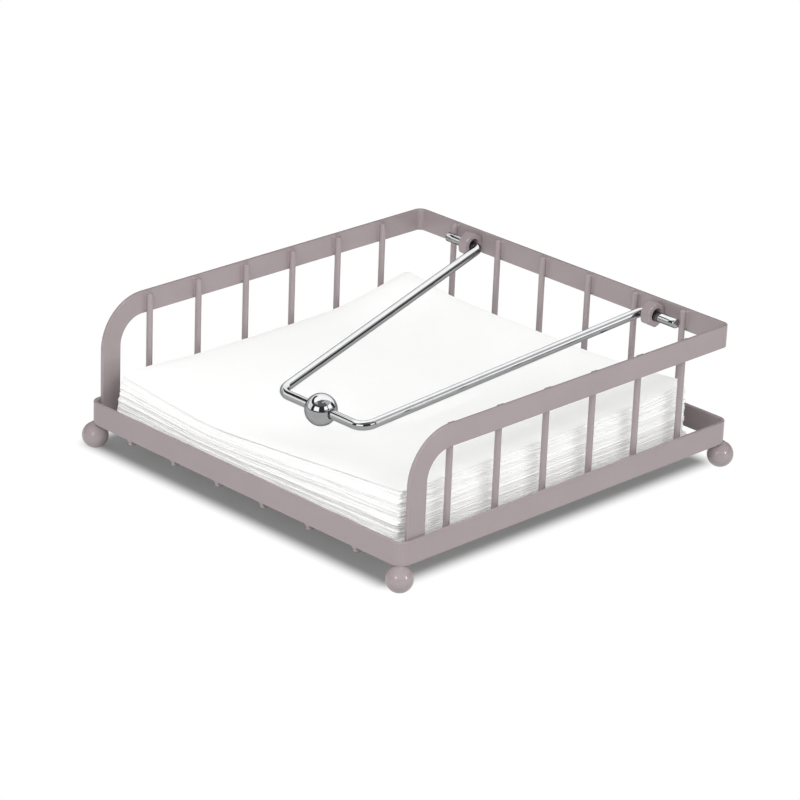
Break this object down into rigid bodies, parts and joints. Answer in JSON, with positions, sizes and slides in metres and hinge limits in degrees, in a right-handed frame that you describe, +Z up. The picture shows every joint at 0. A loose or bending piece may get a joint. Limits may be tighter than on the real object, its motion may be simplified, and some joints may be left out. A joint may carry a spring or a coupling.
{
  "type": "napkin holder",
  "caption": "Flat square napkin tray of painted steel strip and wire on ball feet, open at the front, with a swinging chrome rod and ball that holds the napkin stack down.",
  "frame": {"origin": "on the table under the middle of the holder, at the bottom centre of its box", "axes": "+Z up, -Y towards the open front, +Y towards the pivot at the back, +X to the right seen from the front"},
  "size_m": [0.1974, 0.2044, 0.0659],
  "materials": {
    "powder_coat": "satin taupe powder coat on steel",
    "chrome": "polished chrome plate",
    "napkin_paper": "soft white tissue, embossed lightly"
  },
  "bodies": {
    "frame": {"tray_band": "powder_coat", "top_rail": "powder_coat", "cross_wire_1": "powder_coat", "cross_wire_2": "powder_coat", "cross_wire_3": "powder_coat", "cross_wire_4": "powder_coat", "cross_wire_5": "powder_coat", "cross_wire_6": "powder_coat", "long_wire_1": "powder_coat", "long_wire_2": "powder_coat", "long_wire_3": "powder_coat", "long_wire_4": "powder_coat", "long_wire_5": "powder_coat", "long_wire_6": "powder_coat", "foot_front_left": "powder_coat", "foot_front_right": "powder_coat", "foot_back_left": "powder_coat", "foot_back_right": "powder_coat", "pivot_nut_left": "powder_coat", "pivot_nut_right": "powder_coat", "napkin_stack": "napkin_paper"},
    "arm": {"arm_rod": "chrome", "weight_ball": "chrome"}
  },
  "joints": [
    {"name": "arm_swing", "type": "hinge", "parent": "frame", "child": "arm", "pos_m": [0, 0.0902, 0.05955], "axis": [-1, 0, 0], "range_deg": [0, 122]}
  ]
}
